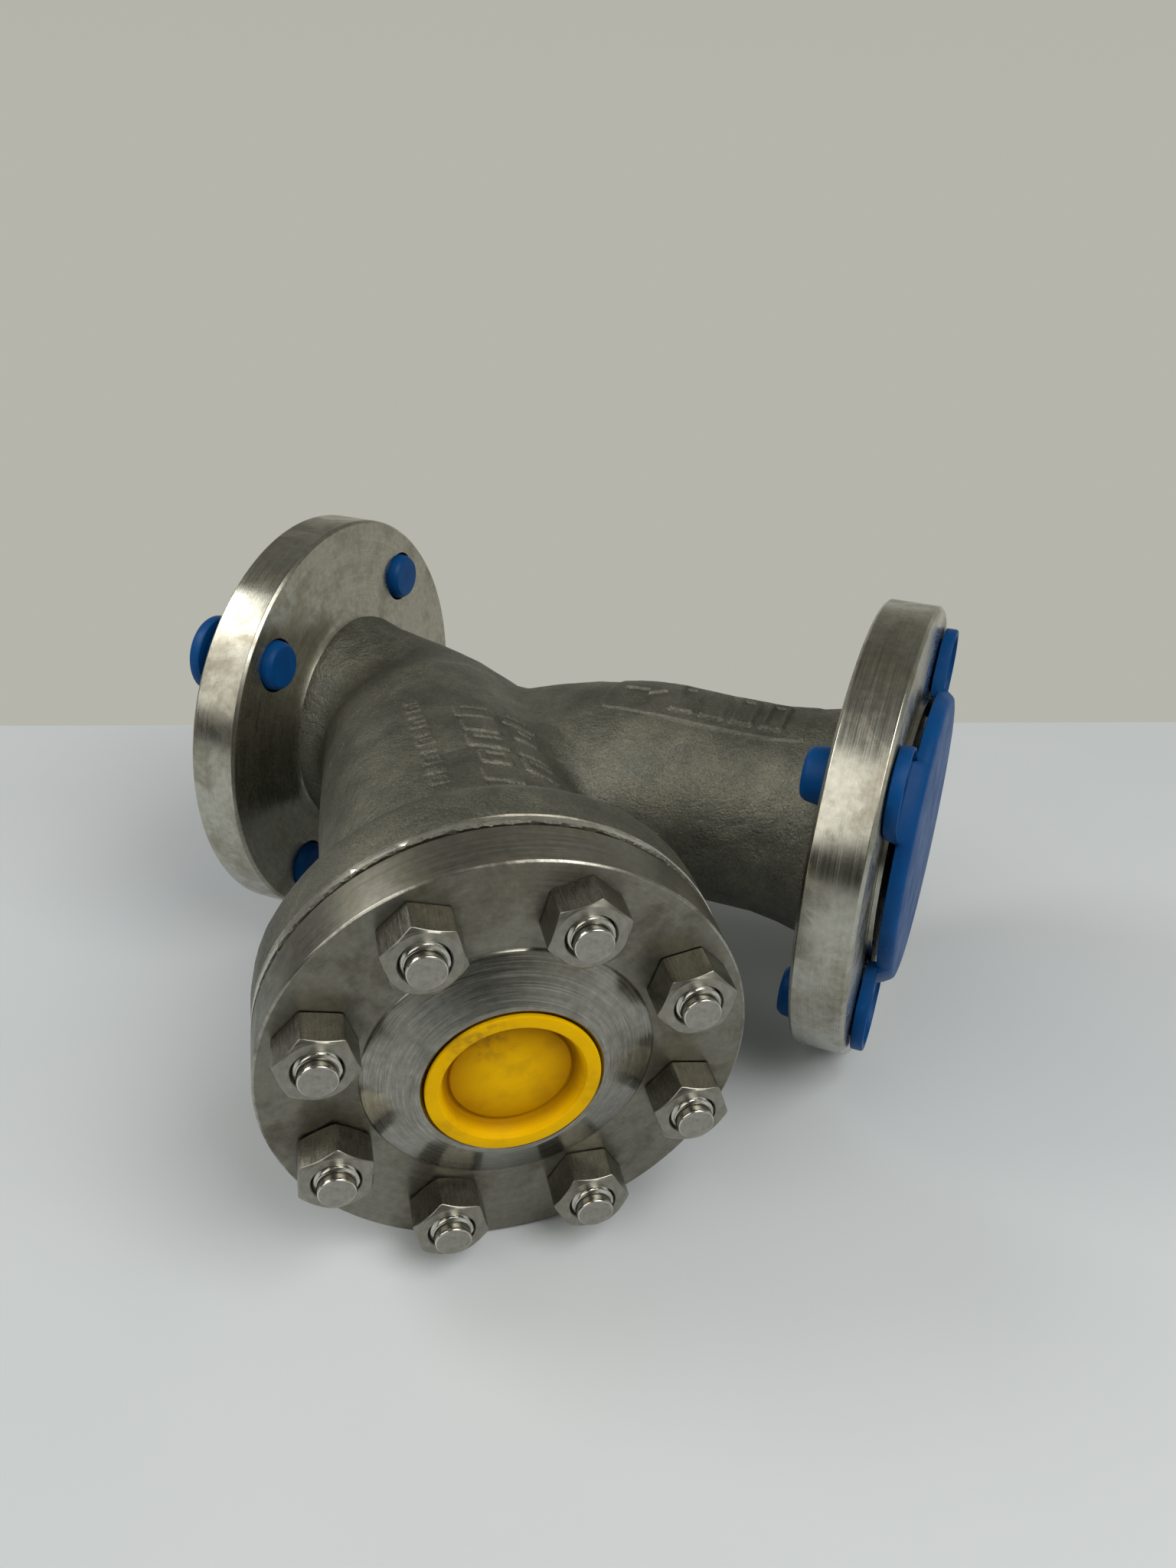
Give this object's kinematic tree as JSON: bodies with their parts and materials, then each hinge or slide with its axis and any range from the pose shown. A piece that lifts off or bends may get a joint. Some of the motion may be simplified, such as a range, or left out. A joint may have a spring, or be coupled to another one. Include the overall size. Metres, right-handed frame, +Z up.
{
  "type": "y strainer",
  "caption": "Flanged Y-type pipeline strainer: cast body with a slanted screen leg, bolted cover with a plugged drain port, removable screen and plastic flange protectors.",
  "frame": {"origin": "centre of the bounding box, on the surface that the strainer lies on", "axes": "+X along the pipe run, pointing out of the outlet flange; +Z up from the surface; the strainer leg leans towards +X and -Y"},
  "size_m": [0.2518, 0.266, 0.1524],
  "materials": {
    "cast_steel": "blasted stainless casting, matte grey, with machined flange faces",
    "turned_steel": "turned stainless, satin",
    "nut_steel": "brushed stainless",
    "stud_steel": "bright thread",
    "screen_steel": "perforated stainless sheet",
    "gasket_sheet": "graphite sheet, matte",
    "blue_plastic": "moulded polyethylene, semi-matte",
    "yellow_plastic": "moulded polyethylene, semi-matte"
  },
  "bodies": {
    "casing": {"body": "cast_steel", "gasket": "gasket_sheet", "stud_1": "stud_steel", "stud_2": "stud_steel", "stud_3": "stud_steel", "stud_4": "stud_steel", "stud_5": "stud_steel", "stud_6": "stud_steel", "stud_7": "stud_steel", "stud_8": "stud_steel"},
    "cover": {"cover": "turned_steel"},
    "screen": {"screen_tube": "screen_steel", "screen_top_ring": "screen_steel", "screen_bottom_ring": "screen_steel"},
    "nut_1": {"nut_1": "nut_steel"},
    "nut_2": {"nut_2": "nut_steel"},
    "nut_3": {"nut_3": "nut_steel"},
    "nut_4": {"nut_4": "nut_steel"},
    "nut_5": {"nut_5": "nut_steel"},
    "nut_6": {"nut_6": "nut_steel"},
    "nut_7": {"nut_7": "nut_steel"},
    "nut_8": {"nut_8": "nut_steel"},
    "inlet_protector": {"inlet_protector": "blue_plastic"},
    "outlet_protector": {"outlet_protector": "blue_plastic"},
    "drain_plug": {"drain_plug": "yellow_plastic"}
  },
  "joints": [
    {"name": "cover_withdraw", "type": "slide", "parent": "casing", "child": "cover", "axis": [0.5878, -0.8068, -0.0598], "range_m": [0, 0.18]},
    {"name": "screen_withdraw", "type": "slide", "parent": "casing", "child": "screen", "axis": [0.5878, -0.8068, -0.0598], "range_m": [0, 0.162]},
    {"name": "inlet_protector_pull", "type": "slide", "parent": "casing", "child": "inlet_protector", "axis": [-1, 0, 0], "range_m": [-0.0045, 0.045]},
    {"name": "outlet_protector_pull", "type": "slide", "parent": "casing", "child": "outlet_protector", "axis": [1, 0, 0], "range_m": [0, 0.045]},
    {"name": "drain_plug_pull", "type": "slide", "parent": "cover", "child": "drain_plug", "axis": [0.5878, -0.8068, -0.0598], "range_m": [0, 0.03]},
    {"name": "nut_1_turn", "type": "hinge", "parent": "cover", "child": "nut_1", "pos_m": [0.0261, -0.10437, 0.11225], "axis": [0.5878, -0.8068, -0.0598], "continuous": true},
    {"name": "nut_2_turn", "type": "hinge", "parent": "cover", "child": "nut_2", "pos_m": [0.05818, -0.08113, 0.11397], "axis": [0.5878, -0.8068, -0.0598], "continuous": true},
    {"name": "nut_3_turn", "type": "hinge", "parent": "cover", "child": "nut_3", "pos_m": [0.08086, -0.06262, 0.08723], "axis": [0.5878, -0.8068, -0.0598], "continuous": true},
    {"name": "nut_4_turn", "type": "hinge", "parent": "cover", "child": "nut_4", "pos_m": [0.08086, -0.05969, 0.04769], "axis": [0.5878, -0.8068, -0.0598], "continuous": true},
    {"name": "nut_5_turn", "type": "hinge", "parent": "cover", "child": "nut_5", "pos_m": [0.05818, -0.07406, 0.01852], "axis": [0.5878, -0.8068, -0.0598], "continuous": true},
    {"name": "nut_6_turn", "type": "hinge", "parent": "cover", "child": "nut_6", "pos_m": [0.0261, -0.0973, 0.0168], "axis": [0.5878, -0.8068, -0.0598], "continuous": true},
    {"name": "nut_7_turn", "type": "hinge", "parent": "cover", "child": "nut_7", "pos_m": [0.00342, -0.1158, 0.04354], "axis": [0.5878, -0.8068, -0.0598], "continuous": true},
    {"name": "nut_8_turn", "type": "hinge", "parent": "cover", "child": "nut_8", "pos_m": [0.00342, -0.11873, 0.08307], "axis": [0.5878, -0.8068, -0.0598], "continuous": true}
  ],
  "couplings": [
    {"joint": "screen_withdraw", "follows": "cover_withdraw", "ratio": 0.89}
  ]
}
